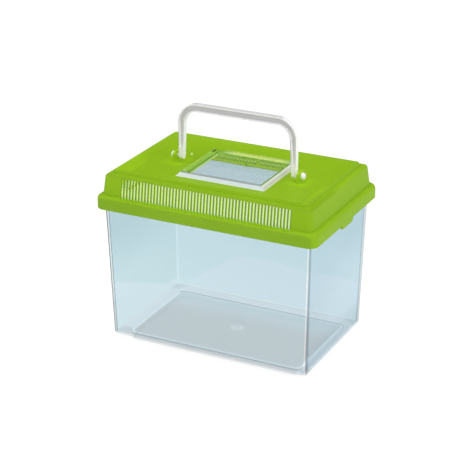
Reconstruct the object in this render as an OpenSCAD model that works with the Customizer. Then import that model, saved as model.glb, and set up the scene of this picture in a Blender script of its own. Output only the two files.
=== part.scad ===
// Small plastic pet keeper: a clear tapered tank, a domed lid with a slotted front and back,
// a clear feeding hatch hinged in the lid, and a carry handle that snaps between two ears.
// Millimetres, +Z up. The origin is the middle of the footprint, on the ground.
// The front is -Y, the left end is -X.

/* [Lid outline] */
// Width of the lid across its rim
rim_w = 232; // [200:1:300]
// Depth of the lid across its rim
rim_d = 154; // [140:1:200]
// Corner radius of the rim, seen from above
rim_r = 9.5; // [9:0.5:14]
// Height of the rim's lower edge above the ground
rim_z = 143.8; // [110:0.1:180]
// Thickness of the lid's walls
lid_t = 1.8; // [1.4:0.1:2.2]

/* [Lid shape] */
// Height of the straight part of the rim
skirt_h = 8.6; // [7:0.1:12]
// Radius of the rounded shoulder over the rim
shoulder_r = 5.1; // [4.5:0.1:6]
// Height of the sloping wall from the shoulder to the top
dome_h = 20.1; // [17:0.1:24]
// How far the sloping wall leans in over its height
dome_lean = 3; // [2:0.1:3.2]
// Corner radius of the sloping wall at its foot, seen from above
dome_r = 6.5; // [6.5:0.1:9]
// Radius of the rounded top edge
top_edge_r = 3.2; // [2:0.1:3.3]
// Distance from the rim's face to the step on the top
step_in = 13.4; // [12.8:0.1:14]
// Height of the step up to the raised panel
step_h = 3.4; // [2.6:0.1:3.8]
// Width of the step's slope
step_run = 1.5; // [0.8:0.1:2]
// Corner radius of the raised panel, seen from above
panel_r = 4; // [4:0.1:6]
// Width of the ridge left round the dish
ridge_w = 1; // [0.6:0.1:2]
// Depth of the shallow dish in the raised panel
dish_depth = 5.5; // [4.6:0.1:5.8]
// Width of the dish's sloping border
dish_run = 10; // [8:0.5:10.5]

/* [Vents] */
// Number of slots in the front row and in the back row
slot_count = 54; // [30:1:56]
// Distance from one slot to the next
slot_pitch = 3.3; // [3:0.05:3.4]
// Width of a slot
slot_w = 1.5; // [1:0.1:1.8]
// Depth of a slot's lower end below the top of the shoulder
slot_foot = 1.5; // [0:0.1:1.6]
// Depth of a slot's upper end below the top of the border
slot_head = 1.9; // [1.9:0.1:4]
// Place of the one slot left uncut in the back row, counted from the left
closed_slot = 23; // [0:1:29]

/* [Catches] */
// Width of the catch tab at each end of the lid
tab_w = 27; // [20:1:36]
// Length of a tab below the rim
tab_h = 4; // [3:0.1:8]
// Corner radius of a tab
tab_r = 3; // [1:0.1:3]
// Radius of the catch bead inside each tab
bead_r = 0.8; // [0.4:0.05:0.8]
// Thickness of the ribs that the lid rests on
rib_t = 1.5; // [1:0.1:2.5]

/* [Tank] */
// Distance from the rim's face in to the tank's wall, at the rim's lower edge
wall_in = 7.3; // [7:0.1:9]
// How far each wall leans in from the rim down to the floor
wall_lean = 3.3; // [2:0.1:5]
// Thickness of the tank's walls and floor
tank_t = 2; // [1.5:0.1:3]
// Radius of the upright edges at the top
upright_r = 3; // [2.5:0.1:5]
// Radius of the edges round the floor
floor_r = 4.6; // [3.5:0.1:6]
// Height of the flange's top above the rim's lower edge
flange_z = 8.2; // [7:0.1:9]
// Thickness of the flange round the mouth
flange_t = 1.8; // [1.2:0.1:2.5]

/* [Foot] */
// Height of the ring foot
foot_h = 6.6; // [3:0.1:8]
// Distance from the tank's wall in to the ring foot
foot_in = 11.4; // [9:0.1:16]
// Width of the ring foot
foot_t = 3; // [2:0.1:5]
// Corner radius of the ring foot
foot_r = 8; // [5:0.5:12]
// Outer diameter of the moulding mark in the floor
gate_d = 13; // [8:0.5:20]
// Width and depth of the moulding mark's groove
gate_t = 0.5; // [0.3:0.1:0.8]

/* [Hatch] */
// Width of the hatch's top face beside the opening, at each side
hatch_beside = 4.4; // [4:0.1:5]
// Depth of the hatch's top face in front of the opening
hatch_ahead = 4.2; // [3.8:0.1:5]
// Distance of the hinge line behind the lid's middle
hatch_back = 38; // [36:0.5:40]
// Height of the hatch's top above the lid
hatch_h = 4.2; // [3.8:0.1:4.6]
// How far the sides spread at their foot
hatch_flare = 3.6; // [2.4:0.1:4]
// How far the front lip reaches past the top face
lip_run = 4.2; // [3:0.1:6]
// Thickness of the hatch
hatch_t = 1.5; // [1.2:0.1:1.5]
// Width of the opening under the hatch
opening_w = 78; // [70:0.5:86]
// Depth of the opening under the hatch
opening_d = 66; // [58:0.5:70]
// Thickness of the collar round the opening
collar_t = 1.4; // [1:0.1:1.6]
// Radius of the hatch's hinge pins
hatch_pin_r = 1; // [0.8:0.05:1.1]
// Wall of the hinge lugs outside their bores
lug_wall = 1.1; // [0.9:0.1:1.2]
// Thickness of the hinge lugs
lug_t = 2.6; // [2:0.1:3]

/* [Handle] */
// Width across the outside of the handle's legs
handle_w = 125.4; // [118:0.2:132]
// Height of the handle above its pivots
handle_h = 55.5; // [50:0.5:58]
// Depth of the handle from front to back
handle_t = 6; // [5.6:0.1:6.4]
// Height of the bar
bar_h = 7.8; // [6.5:0.1:9]
// Width of the legs under the bends
leg_w = 6.4; // [5.6:0.1:8]
// Width of the legs at the pivots
leg_foot_w = 4.6; // [4:0.1:5.6]
// Outer radius of the bends
bend_r = 20; // [14:0.5:24]
// Border left round the grooves
groove_edge = 1.2; // [1:0.1:2]
// Depth of the grooves in the front and back faces
groove_depth = 2.3; // [0.8:0.1:2.3]
// Height above the pivots where the grooves start
groove_start = 10; // [7:0.5:16]
// Radius of the pivot pins
pin_r = 1.6; // [1.3:0.05:1.8]
// Radius of the snap heads
head_r = 3.5; // [2.8:0.1:3.8]
// Length of the snap heads
head_l = 3.6; // [2.8:0.1:4]
// Width of the split through each snap head
split_w = 0.9; // [0.6:0.1:1.2]

/* [Handle ears] */
// Height of the pivots above the lid
pivot_h = 6.2; // [5.8:0.1:6.8]
// Gap between a leg and its ear
ear_gap = 2.4; // [1.5:0.1:3]
// Thickness of the ears
ear_t = 2.6; // [2:0.1:3.5]
// Length of the ears from front to back
ear_l = 12.8; // [11:0.2:20]
// Height of an ear above its pivot
ear_rise = 4.5; // [3:0.1:5]
// Corner radius of the ears
ear_r = 3; // [1.5:0.1:3.5]
// Radius of the rest pips under the folded handle
pip_r = 1.1; // [0.8:0.1:1.5]
// Distance of the pips behind the pivots
pip_back = 18; // [14:1:24]

/* [Fits] */
// Gap between the lid's ribs and the tank's flange
seat_gap = 0.3; // [0.2:0.05:0.5]
// Gap at the sides of the flange, past the catch beads
catch_gap = 0.3; // [0.25:0.05:0.5]
// Gap under the closed hatch and beside its lugs
hatch_gap = 0.25; // [0.2:0.05:0.4]
// Radial clearance of the pins in their bores
pin_gap = 0.06; // [0.02:0.01:0.1]
// Gap between the ears and the snap heads
head_gap = 0.4; // [0.3:0.05:0.8]
// Gap under a piece that folds down on the lid
fold_gap = 0.3; // [0.25:0.05:0.6]

/* [Hidden] */

$fn = 64;
arc_steps = 8;
hull_fn = 32;
overrun = 1;       // how far a cutter passes the face it opens
sheet = 0.01;      // thickness of the thin plates inside a hull
bite = 0.6;        // how far a joined piece reaches into the one it grows from

clear_blue = [0.76, 0.87, 0.90, 0.45];
leaf_green = [0.55, 0.76, 0.12];
clear_white = [0.88, 0.92, 0.94, 0.5];
handle_white = [0.94, 0.93, 0.93];

// heights of the lid
skirt_z = rim_z + skirt_h;
shoulder_z = skirt_z + shoulder_r;
border_z = shoulder_z + dome_h;
panel_z = border_z + step_h;
top_z = panel_z - dish_depth;
under_z = top_z - lid_t;

// sizes of the lid from above
dome_w = rim_w - 2 * shoulder_r;
dome_d = rim_d - 2 * shoulder_r;
lean_angle = atan(dome_lean / dome_h);
edge_in = tan(lean_angle) * (dome_h - top_edge_r) + top_edge_r / cos(lean_angle);
step_w = rim_w - 2 * step_in;
step_d = rim_d - 2 * step_in;
dish_w = step_w - 2 * step_run - 2 * ridge_w;
dish_d = step_d - 2 * step_run - 2 * ridge_w;

// tank
tank_top_z = rim_z + flange_z;
wall_slope = wall_lean / (rim_z - foot_h);
mouth_w = rim_w - 2 * wall_in + 2 * flange_z * wall_slope;
mouth_d = rim_d - 2 * wall_in + 2 * flange_z * wall_slope;
floor_w = rim_w - 2 * wall_in - 2 * wall_lean;
floor_d = rim_d - 2 * wall_in - 2 * wall_lean;
flange_in = lid_t + bead_r + catch_gap;
seat_z = tank_top_z + seat_gap;

// hatch
hatch_w = opening_w + 2 * hatch_beside;
hatch_z = top_z + hatch_h;
hatch_foot_z = top_z + hatch_gap;
hatch_bead_r = (hatch_h - hatch_gap) / 2;
hatch_axis_z = hatch_foot_z + hatch_bead_r;
lug_r = hatch_pin_r + pin_gap + lug_wall;
lug_x = hatch_w / 2 + hatch_gap;
opening_back = hatch_back - hatch_bead_r - hatch_gap - bite;
opening_front = opening_back - opening_d;
hatch_front = opening_front - hatch_ahead;
hatch_d = hatch_back - hatch_front;
collar_z = hatch_z - hatch_t - 2 * hatch_gap;

// handle
pivot_z = top_z + pivot_h;
bar_z = pivot_z + handle_h;
pin_reach = handle_w / 2 + ear_gap + ear_t + head_gap;
ear_x = handle_w / 2 + ear_gap;
nose_lip = 0.3;          // how far a snap head's end stands out from its pin
nose_r = pin_r + nose_lip;
head_share = 0.6;        // share of a snap head's length that is straight
split_in = 2;            // how far the split runs into the pin behind the head

// ---- shared outlines ----

// Rounded rectangle centred on the origin.
module rounded(w, d, r) {
    square([w - 2 * r, d], center = true);
    square([w, d - 2 * r], center = true);
    for (x = [-1, 1], y = [-1, 1])
        translate([x * (w / 2 - r), y * (d / 2 - r)]) circle(r);
}

// Points of an arc round a centre, from one angle to another.
function arc(centre, r, from, to) = [
    for (i = [0 : arc_steps])
        centre + r * [cos(from + (to - from) * i / arc_steps), sin(from + (to - from) * i / arc_steps)]
];

// Solid block with rounded upright corners. Its side is drawn as a profile: x from the face (0) in
// to the centre of the corner (-r), y the height.
module round_block(w, d, r, low, high) {
    for (x = [-1, 1], y = [-1, 1])
        translate([x * (w / 2 - r), y * (d / 2 - r)])
            rotate([0, 0, x > 0 ? (y > 0 ? 0 : -90) : (y > 0 ? 90 : 180)])
                rotate_extrude(angle = 90)
                    intersection() {
                        translate([r, 0]) children();
                        translate([0, low]) square([r, high - low]);
                    }
    for (turn = [0, 180])
        rotate([0, 0, turn]) {
            translate([0, -d / 2])
                rotate([90, 0, -90])
                    linear_extrude(w - 2 * r, center = true) children();
            translate([w / 2, 0])
                rotate([90, 0, 0])
                    linear_extrude(d - 2 * r, center = true) children();
        }
    translate([0, 0, (low + high) / 2])
        cube([w - 2 * r, d - 2 * r, high - low], center = true);
}

// ---- lid ----

rim_side = concat(
    [[0, rim_z]],
    arc([-shoulder_r, skirt_z], shoulder_r, 0, 90),
    [[-rim_r, shoulder_z], [-rim_r, rim_z]]
);

module lid_outside() {
    round_block(rim_w, rim_d, rim_r, rim_z, shoulder_z) polygon(rim_side);
    round_block(dome_w, dome_d, dome_r, skirt_z, border_z)
        polygon(concat(
            [[0, skirt_z], [0, shoulder_z]],
            arc([-edge_in, border_z - top_edge_r], top_edge_r, lean_angle, 90),
            [[-dome_r, border_z], [-dome_r, skirt_z]]
        ));
    round_block(step_w, step_d, panel_r, border_z - bite, panel_z)
        polygon([
            [0, border_z - bite], [0, border_z], [-step_run, panel_z],
            [-panel_r, panel_z], [-panel_r, border_z - bite]
        ]);
}

module lid_inside() {
    low = rim_z - overrun;
    rim_high = shoulder_z - lid_t;
    dome_high = border_z - lid_t;
    panel_high = panel_z - lid_t;
    dome_in_r = dome_r - lid_t;
    panel_in_r = panel_r - lid_t;
    round_block(rim_w - 2 * lid_t, rim_d - 2 * lid_t, rim_r - lid_t, low, rim_high)
        polygon(concat(
            [[0, low]],
            arc([lid_t - shoulder_r, skirt_z], shoulder_r - lid_t, 0, 90),
            [[lid_t - rim_r, rim_high], [lid_t - rim_r, low]]
        ));
    round_block(dome_w - 2 * lid_t, dome_d - 2 * lid_t, dome_in_r, skirt_z, dome_high)
        polygon([
            [0, skirt_z], [0, rim_high], [-dome_lean, dome_high],
            [-dome_in_r, dome_high], [-dome_in_r, skirt_z]
        ]);
    round_block(step_w - 2 * lid_t, step_d - 2 * lid_t, panel_in_r, dome_high - bite, panel_high)
        polygon([
            [0, dome_high - bite], [0, dome_high], [-step_run, panel_high],
            [-panel_in_r, panel_high], [-panel_in_r, dome_high - bite]
        ]);
}

// Everything over the dish's sloping floor up to rise above its edge, all of it lowered by drop.
module dish(rise, drop) {
    spread = rise * dish_run / dish_depth;
    translate([0, 0, -drop])
        hull() {
            translate([0, 0, panel_z + rise])
                cube([dish_w + 2 * spread, dish_d + 2 * spread, sheet], center = true);
            translate([0, 0, top_z + sheet / 2])
                cube([dish_w - 2 * dish_run, dish_d - 2 * dish_run, sheet], center = true);
        }
}

module dish_floor() {
    difference() {
        dish(bite, lid_t);
        dish(overrun, 0);
    }
}

module lid_shell() {
    difference() {
        lid_outside();
        dish(overrun, 0);
        lid_inside();
    }
    dish_floor();
}

// One row of slots through the front wall, and with closed >= 0 one of them left out.
module slot_row(closed) {
    slot_low = shoulder_z - slot_foot;
    slot_high = border_z - slot_head;
    slot_depth = shoulder_r + dome_lean + lid_t + overrun;
    for (i = [0 : slot_count - 1])
        if (i != closed)
            translate([(i - (slot_count - 1) / 2) * slot_pitch - slot_w / 2, -rim_d / 2, slot_low])
                cube([slot_w, slot_depth, slot_high - slot_low]);
}

// A rib in the shoulder for the tank's flange to bear on.
module seat_rib() {
    rib_run = shoulder_r + lid_t + bite;
    rib_h = shoulder_z - lid_t + bite - seat_z;
    rotate([90, 0, 0])
        linear_extrude(rib_t, center = true)
            intersection() {
                polygon(rim_side);
                translate([-rib_run, seat_z]) square([rib_run, rib_h]);
            }
}

module seat_ribs() {
    long_step = (rim_w - 2 * rim_r) / 4;
    short_step = (rim_d - 2 * rim_r) / 3;
    for (turn = [0, 180])
        rotate([0, 0, turn]) {
            for (i = [-1.5 : 1.5])
                translate([i * long_step, -rim_d / 2]) rotate([0, 0, -90]) seat_rib();
            for (i = [-1, 0, 1])
                translate([rim_w / 2, i * short_step]) seat_rib();
        }
}

// The tab at one end, with its catch bead under the tank's flange.
module catch_tab() {
    bead_z = tank_top_z - flange_t - catch_gap - bead_r;
    translate([rim_w / 2 - lid_t, 0, rim_z])
        rotate([90, 0, 90])
            linear_extrude(lid_t) {
                translate([-tab_w / 2, -tab_h + tab_r]) square([tab_w, tab_h]);
                translate([-tab_w / 2 + tab_r, -tab_h]) square([tab_w - 2 * tab_r, tab_h]);
                for (y = [-1, 1])
                    translate([y * (tab_w / 2 - tab_r), -tab_h + tab_r]) circle(tab_r);
            }
    translate([rim_w / 2 - lid_t, 0, bead_z])
        rotate([90, 0, 0])
            cylinder(r = bead_r, h = tab_w - 2 * tab_r, center = true);
}

// Opening, seen from above.
module opening(grow) {
    translate([-opening_w / 2 - grow, opening_front - grow])
        square([opening_w + 2 * grow, opening_d + grow]);
}

module hatch_lugs() {
    for (x = [-1, 1])
        translate([x * (lug_x + lug_t / 2), hatch_back, 0]) {
            translate([0, 0, hatch_axis_z])
                rotate([0, 90, 0]) cylinder(r = lug_r, h = lug_t, center = true);
            translate([0, 0, (hatch_axis_z + under_z + lid_t / 2) / 2])
                cube([lug_t, 2 * lug_r, hatch_axis_z - under_z - lid_t / 2], center = true);
        }
}

module handle_ears() {
    ear_base = under_z + lid_t / 2;
    ear_top = pivot_z + ear_rise;
    for (x = [-1, 1])
        translate([x * (ear_x + ear_t / 2), 0, 0])
            rotate([90, 0, 90])
                linear_extrude(ear_t, center = true) {
                    translate([-ear_l / 2, ear_base]) square([ear_l, ear_top - ear_r - ear_base]);
                    translate([-ear_l / 2 + ear_r, ear_base]) square([ear_l - 2 * ear_r, ear_top - ear_base]);
                    for (y = [-1, 1])
                        translate([y * (ear_l / 2 - ear_r), ear_top - ear_r]) circle(ear_r);
                }
}

// Pips that the folded handle's legs come down on.
module rest_pips() {
    pip_h = pivot_h - handle_t / 2 - fold_gap;
    for (x = [-1, 1])
        translate([x * (handle_w - leg_w) / 2, pip_back, under_z + lid_t / 2])
            cylinder(r = pip_r, h = lid_t / 2 + pip_h);
}

module lid() {
    color(leaf_green)
        difference() {
            union() {
                lid_shell();
                seat_ribs();
                for (turn = [0, 180]) rotate([0, 0, turn]) catch_tab();
                translate([0, 0, under_z]) linear_extrude(collar_z - under_z) opening(collar_t);
                hatch_lugs();
                handle_ears();
                rest_pips();
            }
            slot_row(-1);
            rotate([0, 0, 180]) slot_row(slot_count - 1 - closed_slot);
            translate([0, 0, under_z - overrun])
                linear_extrude(collar_z - under_z + 2 * overrun) opening(0);
            translate([0, hatch_back, hatch_axis_z])
                rotate([0, 90, 0]) cylinder(r = hatch_pin_r + pin_gap, h = rim_w / 2, center = true);
            translate([0, 0, pivot_z])
                rotate([0, 90, 0]) cylinder(r = pin_r + pin_gap, h = rim_w, center = true);
        }
}

// ---- tank ----

// Tapered block with rounded edges, drawn in by inset on every side but the top.
module tank_block(inset, rise) {
    ball_r = floor_r - inset;
    hull() {
        translate([0, 0, tank_top_z + rise - sheet])
            linear_extrude(sheet)
                rounded(mouth_w - 2 * inset, mouth_d - 2 * inset, upright_r - inset / 2, $fn = hull_fn);
        for (x = [-1, 1], y = [-1, 1])
            translate([x * (floor_w / 2 - floor_r), y * (floor_d / 2 - floor_r), foot_h + floor_r])
                sphere(ball_r, $fn = hull_fn);
    }
}

module tank_flange() {
    flange_corner = rim_r - flange_in;
    translate([0, 0, tank_top_z - flange_t])
        linear_extrude(flange_t)
            difference() {
                rounded(rim_w - 2 * flange_in, rim_d - 2 * flange_in, flange_corner);
                rounded(mouth_w - tank_t, mouth_d - tank_t, upright_r);
            }
}

module foot_ring() {
    ring_w = floor_w - 2 * foot_in;
    ring_d = floor_d - 2 * foot_in;
    linear_extrude(foot_h + tank_t / 2)
        difference() {
            rounded(ring_w, ring_d, foot_r);
            rounded(ring_w - 2 * foot_t, ring_d - 2 * foot_t, foot_r - foot_t);
        }
}

// The round moulding mark in the underside of the floor.
module gate_mark() {
    translate([0, 0, foot_h - overrun])
        linear_extrude(gate_t + overrun)
            difference() {
                circle(gate_d / 2);
                circle(gate_d / 2 - gate_t);
            }
}

module tank() {
    color(clear_blue)
        difference() {
            union() {
                difference() {
                    tank_block(0, 0);
                    tank_block(tank_t, overrun);
                }
                tank_flange();
                foot_ring();
            }
            gate_mark();
        }
}

// ---- hatch ----

// Solid of the hatch: a flat top that spreads to its foot at the sides and the front.
module hatch_block(inset, drop) {
    foot_w = hatch_w + 2 * hatch_flare;
    hull() {
        translate([-hatch_w / 2 + inset, hatch_front + inset, hatch_z - inset - sheet])
            cube([hatch_w - 2 * inset, hatch_d - inset, sheet]);
        translate([-foot_w / 2 + inset, hatch_front - lip_run + inset, hatch_foot_z - drop])
            cube([foot_w - 2 * inset, hatch_d + lip_run - inset, sheet]);
    }
}

module hatch() {
    sweep_r = lug_r + hatch_gap;
    color(clear_white)
        difference() {
            hatch_block(0, 0);
            hatch_block(hatch_t, overrun);
            for (x = [-1, 1])
                translate([x * hatch_w, hatch_back, hatch_axis_z]) {
                    rotate([0, 90, 0]) cylinder(r = sweep_r, h = hatch_w, center = true);
                    translate([0, 0, -hatch_h / 2])
                        cube([hatch_w, 2 * sweep_r, hatch_h], center = true);
                }
        }
    color(clear_white)
        translate([0, hatch_back, hatch_axis_z])
            rotate([0, 90, 0]) {
                cylinder(r = hatch_bead_r, h = hatch_w, center = true);
                cylinder(r = hatch_pin_r, h = hatch_w + 2 * (hatch_gap + lug_t), center = true);
            }
}

// ---- handle ----

// Upright outline of a hoop: half width and top height of its outside, drawn down to z = low.
module hoop(half_w, top, r, foot_half_w, low) {
    bend_z = top - r;
    translate([-half_w + r, bend_z]) square([2 * (half_w - r), r]);
    for (x = [-1, 1])
        translate([x * (half_w - r), bend_z]) circle(r);
    polygon([[-half_w, bend_z], [-foot_half_w, low], [foot_half_w, low], [half_w, bend_z]]);
}

module handle_outline() {
    low = pivot_z - handle_t;
    leg_rise = bar_z - bar_h - pivot_z;
    inner_half = handle_w / 2 - leg_w;
    foot_half = handle_w / 2 - leg_foot_w + (leg_w - leg_foot_w) * handle_t / leg_rise;
    difference() {
        hoop(handle_w / 2, bar_z, bend_r, handle_w / 2, low);
        hoop(inner_half, bar_z - bar_h, bend_r - leg_w, foot_half, low);
    }
}

module groove_outline() {
    low = pivot_z + groove_start;
    outer_half = handle_w / 2 - groove_edge;
    inner_half = handle_w / 2 - leg_w + groove_edge;
    foot_half = handle_w / 2 - leg_foot_w + groove_edge;
    difference() {
        hoop(outer_half, bar_z - groove_edge, bend_r - groove_edge, outer_half, low);
        hoop(inner_half, bar_z - bar_h + groove_edge, bend_r - leg_w + groove_edge, foot_half, low - overrun);
    }
}

// Side view of a leg: round about the pivot, straight above it.
module leg_side() {
    translate([0, pivot_z]) circle(handle_t / 2);
    translate([-handle_t / 2, pivot_z]) square([handle_t, handle_h + overrun]);
}

module snap_pin() {
    pin_start = (handle_w - leg_foot_w) / 2;
    barrel_l = head_l * head_share;
    translate([pin_start, 0, 0])
        rotate([0, 90, 0]) cylinder(r = pin_r, h = pin_reach - pin_start + barrel_l);
    translate([pin_reach, 0, 0])
        rotate([0, 90, 0]) {
            cylinder(r = head_r, h = barrel_l);
            translate([0, 0, barrel_l]) cylinder(r1 = head_r, r2 = nose_r, h = head_l - barrel_l);
        }
}

module handle() {
    color(handle_white)
        difference() {
            union() {
                intersection() {
                    rotate([90, 0, 0]) linear_extrude(handle_t, center = true) handle_outline();
                    rotate([90, 0, 90]) linear_extrude(handle_w + overrun, center = true) leg_side();
                }
                for (turn = [0, 180])
                    translate([0, 0, pivot_z]) rotate([0, 0, turn]) snap_pin();
            }
            for (y = [-1, 1])
                translate([0, y * (handle_t - groove_depth + overrun) / 2, 0])
                    rotate([90, 0, 0])
                        linear_extrude(groove_depth + overrun, center = true) groove_outline();
            for (x = [-1, 1])
                translate([x * (pin_reach + (head_l + overrun - split_in) / 2), 0, pivot_z])
                    cube([head_l + overrun + split_in, split_w, 2 * head_r + overrun], center = true);
        }
}

tank();
lid();
hatch();
handle();
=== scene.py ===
"""Looks of the plastic pet keeper: clear tank, green slotted lid, clear hatch and white handle.

The tints follow the part's own coordinates (metres, X right, Y back, Z up), so each rides on
its piece when a joint moves. A clear plastic's tint is near the share of light it lets through.
"""

import math

import bmesh
import bpy
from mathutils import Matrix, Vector

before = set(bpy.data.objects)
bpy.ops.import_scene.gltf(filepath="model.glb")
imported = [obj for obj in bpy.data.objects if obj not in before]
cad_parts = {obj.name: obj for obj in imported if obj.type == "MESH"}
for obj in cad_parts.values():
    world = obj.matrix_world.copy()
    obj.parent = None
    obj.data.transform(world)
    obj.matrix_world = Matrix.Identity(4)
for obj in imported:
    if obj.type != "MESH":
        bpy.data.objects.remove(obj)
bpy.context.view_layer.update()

CLEAR = (1.0, 1.0, 1.0)
NO_LIGHT = (0.0, 0.0, 0.0)
FLAT = (1.0, 1.0, 0.0)  # leaves the height out of a vector

# places on the part that the tints follow
MOUTH_Z = 0.1437
SHOULDER_Z = 0.1565
SLOT_FOOT_Z, SLOT_HEAD_Z = 0.1574, 0.1757
SLOT_ROW_HALF_W = 0.0892
UNDER_PANEL_Z = 0.1750
PANEL_Z = 0.1760
PANEL_EDGE = (0.1100, 0.0710, 0.0065)  # half width, half depth and corner radius
OPENING_EDGE = (0.0410, 0.0370, 0.0010)
PIP_Y = 0.018
HATCH_TOP_Z = 0.1797
BAR_Z = 0.2240
CROWN_Z = 0.2364
GROOVE_HALF_W = 0.00225
LEDGE_Z = 0.0086
FOOT_TOP_Z = 0.0065
FOOT_EDGE = (0.0940, 0.0550, 0.0080)
# how far a mask's border fades to either side
CRISP, FINE = 0.0001, 0.0002

# ---- materials ----


class Nodes:
    """A material's node tree with short ways to add and link nodes."""

    def __init__(self, name):
        self.mat = bpy.data.materials.new(name)
        self.mat.use_nodes = True
        self.tree = self.mat.node_tree
        self.shader = self.tree.nodes["Principled BSDF"]
        place = self.tree.nodes.new("ShaderNodeTexCoord")
        self.coord = place.outputs["Object"]
        self.x, self.y, self.z = self.split(self.coord)
        self.facing = place.outputs["Normal"]
        self.nx, self.ny, self.nz = (self.abs(side) for side in self.split(self.facing))

    def feed(self, socket, value):
        if isinstance(value, bpy.types.NodeSocket):
            self.tree.links.new(value, socket)
        elif isinstance(value, tuple) and len(value) == 3 and len(socket.default_value) == 4:
            socket.default_value = value + (1.0,)
        else:
            socket.default_value = value

    def split(self, vector):
        node = self.tree.nodes.new("ShaderNodeSeparateXYZ")
        self.feed(node.inputs[0], vector)
        return node.outputs

    def math(self, operation, *values):
        node = self.tree.nodes.new("ShaderNodeMath")
        node.operation = operation
        for socket, value in zip(node.inputs, values):
            self.feed(socket, value)
        return node.outputs[0]

    def abs(self, value):
        return self.math("ABSOLUTE", value)

    def plus(self, first, second):
        return self.math("ADD", first, second)

    def minus(self, first, second):
        return self.math("SUBTRACT", first, second)

    def highest(self, *values):
        """The highest of the values, so masks are joined."""
        top = values[0]
        for value in values[1:]:
            top = self.math("MAXIMUM", top, value)
        return top

    def times(self, *values):
        """The product of the values, so masks are cut with each other."""
        product = values[0]
        for value in values[1:]:
            product = self.math("MULTIPLY", product, value)
        return product

    def vector(self, operation, *values):
        node = self.tree.nodes.new("ShaderNodeVectorMath")
        node.operation = operation
        for socket, value in zip(node.inputs, values):
            self.feed(socket, value)
        return node.outputs["Value" if operation in ("LENGTH", "DOT_PRODUCT") else "Vector"]

    def ramp(self, value, low, high, start=0.0, end=1.0):
        """From start at low to end at high, level outside them."""
        node = self.tree.nodes.new("ShaderNodeMapRange")
        for name, amount in (
            ("Value", value),
            ("From Min", low),
            ("From Max", high),
            ("To Min", start),
            ("To Max", end),
        ):
            self.feed(node.inputs[name], amount)
        return node.outputs["Result"]

    def above(self, value, limit, soft):
        """0 below the limit and 1 above it, with a slope soft to either side."""
        return self.ramp(value, limit - soft, limit + soft)

    def below(self, value, limit, soft):
        """1 below the limit and 0 above it, with a slope soft to either side."""
        return self.ramp(value, limit + soft, limit - soft)

    def band(self, value, low, high, soft):
        """1 between low and high, 0 outside them."""
        return self.times(self.above(value, low, soft), self.below(value, high, soft))

    def mix(self, share, first, second):
        """Colour first where share is 0, second where it is 1."""
        node = self.tree.nodes.new("ShaderNodeMix")
        node.data_type = "RGBA"
        self.feed(node.inputs[0], share)
        self.feed(node.inputs[6], first)
        self.feed(node.inputs[7], second)
        return node.outputs[2]

    def shift(self, share, colour, factor):
        """The colour times the factor where share is 1."""
        return self.mix(share, colour, self.vector("MULTIPLY", colour, factor))

    def noise(self, scale, detail=2.0):
        node = self.tree.nodes.new("ShaderNodeTexNoise")
        node.inputs["Scale"].default_value = scale
        node.inputs["Detail"].default_value = detail
        self.feed(node.inputs["Vector"], self.coord)
        return node.outputs["Fac"]

    def spread(self, noise, low, high):
        """From low to high over the middle of a noise."""
        return self.ramp(noise, 0.3, 0.7, low, high)

    def tones(self, noise, low, high):
        """Colour from low to high over the middle of a noise."""
        return self.mix(self.spread(noise, 0.0, 1.0), low, high)

    def bump(self, height, strength, distance, below=None):
        node = self.tree.nodes.new("ShaderNodeBump")
        node.inputs["Strength"].default_value = strength
        node.inputs["Distance"].default_value = distance
        self.feed(node.inputs["Height"], height)
        if below:
            self.feed(node.inputs["Normal"], below)
        return node.outputs["Normal"]

    def outside(self, half_w, half_d, radius):
        """Distance outside a rounded rectangle round the Z axis."""
        flat = self.vector("MULTIPLY", self.vector("ABSOLUTE", self.coord), FLAT)
        past = self.vector("SUBTRACT", flat, (half_w - radius, half_d - radius, 0.0))
        corner = self.vector("MAXIMUM", past, (0.0, 0.0, 0.0))
        return self.minus(self.vector("LENGTH", corner), radius)

    def outward(self):
        """How far the surface faces away from the Z axis, times its distance from it."""
        flat = self.vector("MULTIPLY", self.coord, FLAT)
        return self.vector("DOT_PRODUCT", flat, self.facing)

    def pass_lamps(self, share):
        """Lets this share of the lamps' light through, so what it covers isn't dark."""
        tree = self.tree
        path = tree.nodes.new("ShaderNodeLightPath")
        clear = tree.nodes.new("ShaderNodeBsdfTransparent")
        clear.inputs["Color"].default_value = (share, share, share, 1.0)
        blend = tree.nodes.new("ShaderNodeMixShader")
        tree.links.new(path.outputs["Is Shadow Ray"], blend.inputs[0])
        tree.links.new(self.shader.outputs[0], blend.inputs[1])
        tree.links.new(clear.outputs[0], blend.inputs[2])
        tree.links.new(blend.outputs[0], tree.nodes["Material Output"].inputs["Surface"])

    def link(self, output, name):
        self.tree.links.new(output, self.shader.inputs[name])

    def set(self, **values):
        for name, value in values.items():
            self.feed(self.shader.inputs[name.replace("_", " ")], value)


def opening_of(n):
    """1 inside the collar of the lid's opening."""
    return n.below(n.outside(*OPENING_EDGE), 0.0001, CRISP)


def green_tint(n, place):
    """Leaf green, with painted shade between the slots, down the front of the skirt and along the
    panel's front edge, and painted light on the slots' sides and the ears.
    """
    tint = n.tones(n.noise(14), (0.262, 0.470, 0.0110), (0.285, 0.500, 0.0140))
    # painted shade: the bars between the slots are darker
    tint = n.mix(n.times(place["slots"], place["faces_front"]), tint, (0.190, 0.330, 0.022))
    # painted light: the slots' sides are pale
    tint = n.mix(place["lit_slot_sides"], tint, (0.75, 0.92, 0.18))
    # painted shade: the front faces below the shoulder are darker
    skirt = n.times(place["faces_front"], n.below(n.z, SHOULDER_Z, 0.0005))
    tint = n.shift(skirt, tint, (0.84, 0.87, 1.5))
    # painted shade: darker along the panel's front edge
    shaded_front_edge = n.times(
        n.above(n.outside(*PANEL_EDGE), -0.00525, 0.00075),
        n.above(n.z, PANEL_Z - 0.00025, 0.00025),
        place["front_half"],
    )
    tint = n.shift(shaded_front_edge, tint, (0.86, 0.86, 0.9))
    # painted light: the ears are lighter, so their shade doesn't show
    return n.shift(place["ears"], tint, (1.2, 1.15, 1.2))


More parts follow.
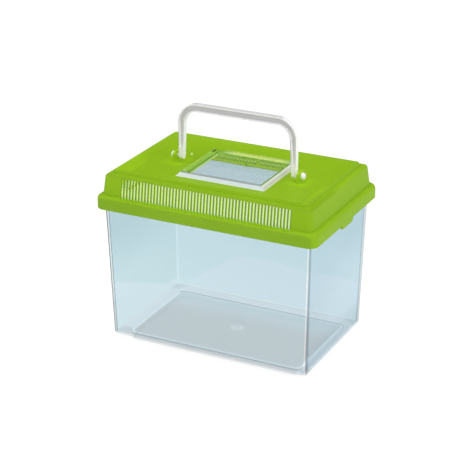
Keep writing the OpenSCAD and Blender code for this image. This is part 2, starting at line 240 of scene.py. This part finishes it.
def green_glow(n, place):
    """Painted light, given as glow, that stands in for light through the thin shell: inside it,
    and at its ears, pips, dish slope, collar and slots.
    """
    inward = n.below(n.outward(), -0.006, 0.002)
    under = n.below(n.split(n.facing)[2], -0.6, 0.1)
    shell_or_collar = n.highest(n.below(n.z, UNDER_PANEL_Z, FINE), opening_of(n))
    inside = n.times(n.highest(inward, under), n.above(n.z, MOUTH_Z, CRISP), shell_or_collar)
    # painted light: the inside of the shell glows green
    glow = n.mix(n.above(n.z, 0.15475, 0.00325), (0.40, 0.46, 0.026), (0.25, 0.36, 0.018))
    # low in the shell it is as pale as the tank that the photo shows there, with a wavy border
    wavy = n.plus(n.z, n.spread(n.noise(28), -0.0007, 0.0007))
    # painted light: the low band glows pale
    glow = n.mix(n.below(wavy, 0.1502, FINE), glow, (0.93, 0.84, 0.99))
    glow = n.mix(inside, NO_LIGHT, glow)
    # painted light: the front of the dish slope glows, so its shade doesn't show
    dish_slope = n.times(inward, n.above(n.z, PANEL_Z - CRISP, CRISP), place["front_half"])
    glow = n.mix(dish_slope, glow, (0.045, 0.075, 0.001))
    # painted light: glow round the ears' feet and on the ears, where their shade falls
    round_ears = n.times(
        n.band(place["wide"], 0.056, 0.076, 0.004),
        n.below(place["deep"], 0.011, 0.005),
        n.band(n.z, PANEL_Z - 0.0008, PANEL_Z + 0.0008, FINE),
    )
    glow = n.mix(n.highest(round_ears, n.times(place["ears"], 0.6)), glow, (0.07, 0.11, 0.002))
    # painted light: the notches at the slots' feet glow, so their shade doesn't show
    slot_feet = n.times(
        place["slot_row"], n.band(n.z, 0.1520, SLOT_FOOT_Z, CRISP), n.above(n.nx, 0.4, 0.2)
    )
    glow = n.mix(slot_feet, glow, (0.13, 0.21, 0.008))
    # painted highlight: the pips glow pale
    pips = n.times(
        n.below(n.abs(n.minus(n.y, PIP_Y)), 0.00175, 0.00025),
        n.band(place["wide"], 0.0575, 0.0615, 0.0003),
        n.above(n.z, PANEL_Z + 0.00015, 0.00015),
    )
    glow = n.mix(pips, glow, (0.30, 0.36, 0.16))
    # painted light: the collar's sides glow faintly
    collar_sides = n.times(opening_of(n), n.above(n.nx, 0.7, 0.2), n.above(n.z, 0.171, 0.001))
    glow = n.mix(collar_sides, glow, (0.02, 0.03, 0.002))
    # painted light: the slots' sides glow pale
    return n.mix(place["lit_slot_sides"], glow, (0.15, 0.15, 0.06))


def green_plastic():
    """The lid's plastic."""
    n = Nodes("leaf_green_plastic")
    wide, deep = n.abs(n.x), n.abs(n.y)
    slot_row = n.below(wide, SLOT_ROW_HALF_W, FINE)
    slots = n.times(slot_row, n.band(n.z, SLOT_FOOT_Z, SLOT_HEAD_Z, CRISP))
    # the painted light on the sides of the leftmost slots fades out towards their heads
    lit = n.highest(n.above(n.x, -0.080, 0.006), n.below(n.z, 0.1665, 0.0025))
    place = {
        "wide": wide,
        "deep": deep,
        "front_half": n.below(n.y, -0.010, 0.010),
        "faces_front": n.above(n.ny, 0.85, 0.05),
        "slot_row": slot_row,
        "slots": slots,
        # the slots' sides, which get painted light in tint and glow
        "lit_slot_sides": n.times(
            slots, n.above(n.nx, 0.94, 0.04), n.above(n.z, SLOT_FOOT_Z, FINE), lit
        ),
        # the ears, which get painted light in tint and glow
        "ears": n.times(
            n.band(wide, 0.058, 0.070, 0.001),
            n.above(n.z, PANEL_Z + 0.0004, 0.0004),
            n.below(deep, 0.011, 0.001),
        ),
    }
    n.link(green_tint(n, place), "Base Color")
    n.link(green_glow(n, place), "Emission Color")
    n.link(n.spread(n.noise(260, 4), 0.42, 0.50), "Roughness")
    waves = n.bump(n.noise(60), 0.06, 0.0006)
    n.link(n.bump(n.noise(2600, 3), 0.10, 0.00006, waves), "Normal")
    n.set(Specular_IOR_Level=0.07, Emission_Strength=1.0)
    return n.mat


def white_plastic():
    """The handle's cloudy white plastic: bright rims, painted shade in the grooves, on the leg
    fronts and on top, and painted light on the sides and low down.
    """
    n = Nodes("white_plastic")
    faces_front = n.above(n.ny, 0.875, 0.075)
    bar = n.above(n.z, BAR_Z, 0.0060)
    groove = n.times(n.below(n.abs(n.y), GROOVE_HALF_W, 0.00015), faces_front)
    leg_fronts = n.times(faces_front, n.above(n.z, 0.1930, 0.0050), n.minus(1.0, bar))
    crown = n.times(n.above(n.nz, 0.75, 0.15), n.above(n.z, CROWN_Z, 0.0004))
    tint = n.tones(n.noise(30), (0.91, 0.89, 0.90), (0.94, 0.92, 0.93))
    # painted shade: the leg fronts, the grooves and the top are darker
    tint = n.mix(leg_fronts, tint, (0.63, 0.62, 0.63))
    tint = n.mix(groove, tint, n.mix(bar, (0.61, 0.60, 0.61), (0.600, 0.590, 0.610)))
    tint = n.mix(crown, tint, (0.70, 0.69, 0.70))
    n.link(tint, "Base Color")
    # painted light: the sides and the low part glow a little
    sides = n.times(n.above(n.nx, 0.75, 0.15), n.below(n.z, 0.2235, 0.0085))
    low = n.below(n.z, 0.2050, 0.0150)
    glow = n.plus(n.times(sides, 0.12), n.times(low, 0.08))
    n.link(n.mix(glow, NO_LIGHT, (1.0, 0.97, 0.98)), "Emission Color")
    n.link(n.spread(n.noise(300, 4), 0.34, 0.42), "Roughness")
    n.link(n.bump(n.noise(2600, 3), 0.08, 0.00005), "Normal")
    n.set(Specular_IOR_Level=0.35, Emission_Strength=1.0)
    return n.mat


def wall_tint(n):
    """Faint blue, with a painted reflection that makes it paler low down, painted shade on the
    end walls, most low on the right, and painted reflections low on the left and rear walls.
    """
    height = n.plus(n.z, n.spread(n.noise(5), -0.018, 0.018))
    # painted reflection: the walls are paler below a wavy height
    tint = n.mix(n.above(height, 0.0825, 0.0275), (0.760, 0.860, 0.893), (0.675, 0.780, 0.815))
    faces_end = n.above(n.nx, 0.84, 0.14)
    rear = n.times(n.above(n.ny, 0.84, 0.14), n.above(n.y, 0.005, 0.005))
    left = n.times(faces_end, n.below(n.x, -0.005, 0.005))
    right = n.times(faces_end, n.above(n.x, 0.005, 0.005))
    # painted shade: the left and right walls are darker, the right one most low down
    tint = n.shift(left, tint, (0.95, 0.97, 0.96))
    tint = n.shift(right, tint, (0.90, 0.935, 0.965))
    tint = n.shift(n.times(right, n.below(n.z, 0.1025, 0.0225)), tint, (0.975, 0.965, 0.960))
    tint = n.shift(n.times(right, n.below(n.z, 0.030, 0.010)), tint, (0.87, 0.89, 0.89))
    # painted reflection: a pool of light low on the left wall under a slanted border
    slant = n.ramp(n.y, -0.054, 0.044, 0.059, 0.017)
    lit = n.below(n.minus(n.z, slant), 0.0, 0.0015)
    tint = n.shift(n.times(left, lit), tint, (1.12, 1.05, 1.06))
    # painted reflection: a pool of light low on the rear wall under an arched border
    arch = n.plus(
        n.ramp(n.x, -0.090, -0.035, 0.014, 0.052), n.ramp(n.abs(n.x), 0.0, 0.050, 0.004, 0.0)
    )
    lit = n.below(n.minus(n.z, arch), 0.0, 0.003)
    return n.shift(n.times(rear, lit), tint, (1.08, 1.03, 1.04))


def upright_tint(n, tint):
    """Painted highlight and shade lines along the four uprights. Returns the tint and where a
    painted dark outline is.
    """
    rounded = n.above(n.times(n.nx, n.ny), 0.23, 0.07)
    toward_end = n.minus(n.nx, n.ny)
    across = n.minus(n.x, n.y)
    not_back_left = n.above(across, -0.105, 0.005)
    # painted highlight: a light line on one side of each upright
    light = n.mix(not_back_left, (0.84, 0.92, 0.94), CLEAR)
    tint = n.mix(n.times(rounded, n.below(toward_end, 0.0, 0.05)), tint, light)
    # painted shade: a dark line on the other side
    dark = n.times(rounded, n.above(toward_end, 0.0, 0.05), not_back_left)
    tint = n.mix(dark, tint, (0.30, 0.35, 0.385))
    # the front-left and back-right uprights, which the photo shows as the tank's outlines
    # painted shade: dark outline lines down these two uprights
    half_d = n.plus(0.0661, n.times(n.z, 0.0241))
    outline = n.times(
        n.below(n.abs(across), 0.105, 0.005),
        n.above(n.nx, 0.11, 0.03),
        n.above(n.minus(n.abs(n.y), half_d), -0.0043, 0.0003),
    )
    left = n.mix(n.below(n.z, 0.070, 0.030), (0.57, 0.62, 0.64), (0.38, 0.42, 0.43))
    left = n.mix(n.above(n.nx, 0.45, 0.05), left, (0.10, 0.13, 0.14))
    side = n.mix(n.above(across, 0.0, 0.01), left, (0.48, 0.53, 0.55))
    return n.mix(outline, tint, side), outline


def floor_tint(n, tint):
    """The floor plate, greyer and darker at the front by painted shade, with its border, paler at
    the front by painted light, a painted highlight along the inner fillet and its round moulding
    mark, and the foot below it, with painted shade at its front and a painted dark line along its
    top.
    """
    past_foot = n.outside(*FOOT_EDGE)
    # painted highlight: the inner fillet of the floor is left clear, so a light line runs along
    # it
    fillet = n.times(
        n.band(n.z, LEDGE_Z + 0.0001, 0.0106, FINE), n.band(past_foot, 0.0064, 0.0092, FINE)
    )
    tint = n.mix(fillet, tint, CLEAR)
    # painted shade: the plate is greyer, and darker towards the front
    plate = n.mix(n.above(n.y, 0.030, 0.020), (0.650, 0.619, 0.630), (0.716, 0.766, 0.800))
    from_middle = n.vector("LENGTH", n.vector("MULTIPLY", n.coord, FLAT))
    plate = n.mix(n.band(from_middle, 0.0022, 0.0072, 0.0008), plate, (0.79, 0.77, 0.78))
    # painted light: the border is paler at the front
    border = n.mix(n.below(n.y, -0.0470, 0.0025), (0.83, 0.84, 0.895), (0.700, 0.680, 0.700))
    plate = n.mix(n.above(past_foot, -0.0030, FINE), plate, border)
    plate = n.mix(n.above(past_foot, 0.0094, FINE), plate, (0.66, 0.70, 0.73))
    tint = n.mix(n.below(n.z, LEDGE_Z, CRISP), tint, plate)
    pale = (0.97, 0.98, 0.99)
    # painted shade: the foot is darker towards the front
    foot = n.mix(n.above(n.y, -0.026, 0.026), (0.80, 0.81, 0.83), pale)
    foot = n.mix(n.above(n.nx, 0.5, 0.2), foot, pale)
    # painted shade: a dark line along the top of the foot, darkest at the front
    line = n.times(
        n.above(n.z, FOOT_TOP_Z - 0.0010, CRISP),
        n.above(past_foot, -0.0015, CRISP),
        n.above(n.ny, 0.45, 0.15),
    )
    shade = n.mix(n.above(n.y, 0.0, 0.01), (0.62, 0.625, 0.61), (0.32, 0.33, 0.34))
    foot = n.mix(line, foot, shade)
    return n.mix(n.below(n.z, FOOT_TOP_Z, CRISP), tint, foot)


def tank_plastic():
    """The tank's clear blue plastic."""
    n = Nodes("clear_blue_plastic")
    tint, outline = upright_tint(n, wall_tint(n))
    n.link(floor_tint(n, tint), "Base Color")
    n.link(n.spread(n.noise(40, 3), 0.0, 0.015), "Roughness")
    n.link(n.bump(n.noise(22, 2), 0.02, 0.0004), "Normal")
    n.link(n.ramp(outline, 0.0, 0.5, 0.25, 0.0), "Coat Weight")
    n.set(Transmission_Weight=1.0, IOR=1.03, Coat_IOR=1.45, Coat_Roughness=0.03)
    return n.mat


def hatch_plastic():
    """Clear plastic with painted reflections that pale its front and right walls, a painted dark
    line along the front edge, painted light and dark lines along the sides, painted light over
    the collar and a painted glare at the back.
    """
    n = Nodes("clear_plastic")
    front_lean, side_lean = 1.06, 0.91  # how far the walls spread for each metre down
    drop = n.minus(HATCH_TOP_Z, n.z)
    wide = n.abs(n.x)
    right_half = n.above(n.x, 0.0, 0.01)
    lip = n.below(n.plus(n.y, n.times(drop, front_lean)), -0.03475, 0.00015)
    side = n.above(n.minus(wide, n.times(drop, side_lean)), 0.04315, 0.00015)
    edge = n.below(drop, 0.0008, CRISP)
    rim = n.times(n.above(wide, 0.0429, CRISP), edge)
    # painted reflection: a pale glare near the back edge
    beside_glare = n.abs(n.minus(n.x, 0.006))
    glare = n.times(n.above(n.y, 0.03125, 0.00125), n.below(beside_glare, 0.032, 0.008))

    tint = n.tones(n.noise(12), (0.64, 0.72, 0.735), (0.66, 0.735, 0.75))
    # painted light: paler where the hatch lies over the collar, so the shade under it doesn't
    # show
    over_collar = n.highest(n.below(n.x, -0.0386, 0.0006), n.above(n.y, 0.03375, 0.00075))
    tint = n.mix(over_collar, tint, (0.90, 0.97, 0.80))
    tint = n.mix(glare, tint, (0.85, 0.92, 0.42))
    # painted reflection: light and dark lines along the left wall, and a pale right wall
    painted_side_lines = n.mix(n.band(drop, 0.0019, 0.0024, CRISP), (0.80, 0.78, 0.84), (0.55, 0.56, 0.36))
    painted_side_lines = n.mix(n.band(drop, 0.0031, 0.0036, CRISP), painted_side_lines, (0.72, 0.74, 0.26))
    tint = n.mix(side, tint, n.mix(right_half, (0.93, 0.98, 0.86), painted_side_lines))
    # painted reflection: the front wall is pale bluish, yellower low down, with a painted dark
    # line at its top edge
    lip_tint = n.mix(n.above(drop, 0.0034, 0.0004), (0.76, 0.82, 0.93), (0.80, 0.88, 0.62))
    tint = n.mix(lip, tint, n.mix(edge, lip_tint, (0.36, 0.40, 0.38)))
    # painted shade: a dark line along the front of the top face
    line = n.times(n.below(n.y, -0.0330, 0.0005), n.below(drop, 0.0002, CRISP))
    tint = n.mix(line, tint, (0.36, 0.38, 0.38))
    # painted highlight: light lines along the top edges of the sides
    tint = n.mix(rim, tint, n.mix(right_half, (0.66, 0.76, 0.30), (0.92, 0.93, 0.82)))
    n.link(tint, "Base Color")

    # painted reflection: the pale walls, the edge lines and the glare let less light through, so
    # their painted tints show
    painted_light_level = 0.85
    painted_light_share = n.times(n.highest(n.times(side, right_half), rim, lip), painted_light_level)
    painted_light_share = n.highest(painted_light_share, n.times(glare, 0.30))
    n.link(n.minus(1.0, painted_light_share), "Transmission Weight")
    n.link(n.spread(n.noise(40, 3), 0.0, 0.02), "Roughness")
    n.link(n.bump(n.noise(30, 2), 0.05, 0.0004), "Normal")
    n.set(IOR=1.03, Coat_Weight=0.4, Coat_IOR=1.45, Coat_Roughness=0.03)
    n.pass_lamps(0.85)
    return n.mat


# ---- the four pieces ----


def dress(node, material, bevel):
    """A CAD node keeps its shape and gets its material, soft or split edges and smooth curves."""
    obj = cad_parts[node]
    obj.data.materials.clear()
    obj.data.materials.append(material)
    for face in obj.data.polygons:
        face.use_smooth = True
    weld = obj.modifiers.new("weld", "WELD")
    weld.merge_threshold = 0.00001
    flat = obj.modifiers.new("flat", "DECIMATE")
    flat.decimate_type = "DISSOLVE"
    flat.angle_limit = math.radians(0.5)
    if bevel:
        soft = obj.modifiers.new("soft", "BEVEL")
        soft.width = bevel
        soft.segments = 2
        soft.limit_method = "ANGLE"
        soft.angle_limit = math.radians(40)
        soft.harden_normals = True
        soft.use_clamp_overlap = True
    else:
        split = obj.modifiers.new("split", "EDGE_SPLIT")
        split.split_angle = math.radians(35)
    normals = obj.modifiers.new("normals", "WEIGHTED_NORMAL")
    normals.keep_sharp = True


dress("lid", green_plastic(), 0.0003)
dress("handle", white_plastic(), 0.0004)
dress("hatch", hatch_plastic(), 0.0003)
dress("tank", tank_plastic(), None)

# ---- floor, light and camera ----


def floor_material():
    """Pale ground with a light of its own, so that it is white right up to the part."""
    n = Nodes("pale_floor")
    n.link(n.tones(n.noise(3), (0.19, 0.19, 0.19), (0.21, 0.21, 0.21)), "Base Color")
    n.set(Roughness=0.9, Specular_IOR_Level=0.0, Emission_Color=CLEAR, Emission_Strength=0.88)
    return n.mat


def ground(half, depth):
    """A square floor, half its side from the middle, this far under the part."""
    mesh = bpy.data.meshes.new("floor")
    shape = bmesh.new()
    corners = ((-half, -half), (half, -half), (half, half), (-half, half))
    shape.faces.new([shape.verts.new((x, y, 0)) for x, y in corners])
    shape.to_mesh(mesh)
    shape.free()
    mesh.materials.append(floor_material())
    obj = bpy.data.objects.new("floor", mesh)
    obj.location.z = -depth
    bpy.context.scene.collection.objects.link(obj)
    return obj


floor = ground(15.0, 0.0002)


def lamp(name, place, aim, side, power):
    """A square area lamp that points at aim."""
    data = bpy.data.lights.new(name, "AREA")
    data.shape = "SQUARE"
    data.size = side
    data.energy = power
    obj = bpy.data.objects.new(name, data)
    obj.location = place
    obj.rotation_euler = (Vector(aim) - Vector(place)).to_track_quat("-Z", "Y").to_euler()
    bpy.context.scene.collection.objects.link(obj)


GROUND_AIM, PART_AIM = (0, 0, 0), (0, 0, 0.1)
lamp("top_box", (0.0, -0.1, 2.4), GROUND_AIM, 3.0, 38)
lamp("right_box", (2.2, -0.9, 1.0), PART_AIM, 1.4, 8)
lamp("left_box", (-1.6, -2.0, 1.2), PART_AIM, 1.2, 2)

# the photo's camera, fitted to the lid's and the tank's straight edges
AZIMUTH = math.radians(26.368)
ELEVATION = math.radians(22.895)
DISTANCE = 1.57137
TARGET = Vector((-0.00005, 0, 0.10569))
FOCAL_MM, SENSOR_MM = 121.26, 36
back = Vector((
    math.sin(AZIMUTH) * math.cos(ELEVATION),
    -math.cos(AZIMUTH) * math.cos(ELEVATION),
    math.sin(ELEVATION),
))


def studio_world(strength, card, card_strength):
    """White surroundings; only in reflections a soft dark card stands in the direction card."""
    world = bpy.data.worlds.new("studio")
    world.use_nodes = True
    tree = world.node_tree
    place = tree.nodes.new("ShaderNodeTexCoord")
    dot = tree.nodes.new("ShaderNodeVectorMath")
    dot.operation = "DOT_PRODUCT"
    dot.inputs[1].default_value = card
    tree.links.new(place.outputs["Generated"], dot.inputs[0])
    fade = tree.nodes.new("ShaderNodeMapRange")
    fade.interpolation_type = "SMOOTHSTEP"
    for name, value in (
        ("From Min", 0.72),
        ("From Max", 0.90),
        ("To Min", strength),
        ("To Max", card_strength),
    ):
        fade.inputs[name].default_value = value
    tree.links.new(dot.outputs["Value"], fade.inputs["Value"])
    path = tree.nodes.new("ShaderNodeLightPath")
    seen = tree.nodes.new("ShaderNodeMath")
    seen.operation = "MAXIMUM"
    tree.links.new(path.outputs["Is Camera Ray"], seen.inputs[0])
    tree.links.new(path.outputs["Is Transmission Ray"], seen.inputs[1])
    level = tree.nodes.new("ShaderNodeMix")
    tree.links.new(seen.outputs[0], level.inputs["Factor"])
    tree.links.new(fade.outputs["Result"], level.inputs["A"])
    level.inputs["B"].default_value = 1.0
    shade = tree.nodes["Background"]
    shade.inputs["Color"].default_value = (1, 1, 1, 1)
    tree.links.new(level.outputs["Result"], shade.inputs["Strength"])
    bpy.context.scene.world = world


# the card stands behind the part, mirrored from the camera's place
studio_world(0.6, (-back.x, -back.y, back.z), 0.03)

camera_data = bpy.data.cameras.new("camera")
camera_data.sensor_width = SENSOR_MM
camera_data.lens = FOCAL_MM
camera = bpy.data.objects.new("camera", camera_data)
camera.location = TARGET + back * DISTANCE
camera.rotation_euler = back.to_track_quat("Z", "Y").to_euler()
bpy.context.scene.collection.objects.link(camera)
bpy.context.scene.camera = camera
bpy.context.scene.view_settings.view_transform = "Standard"
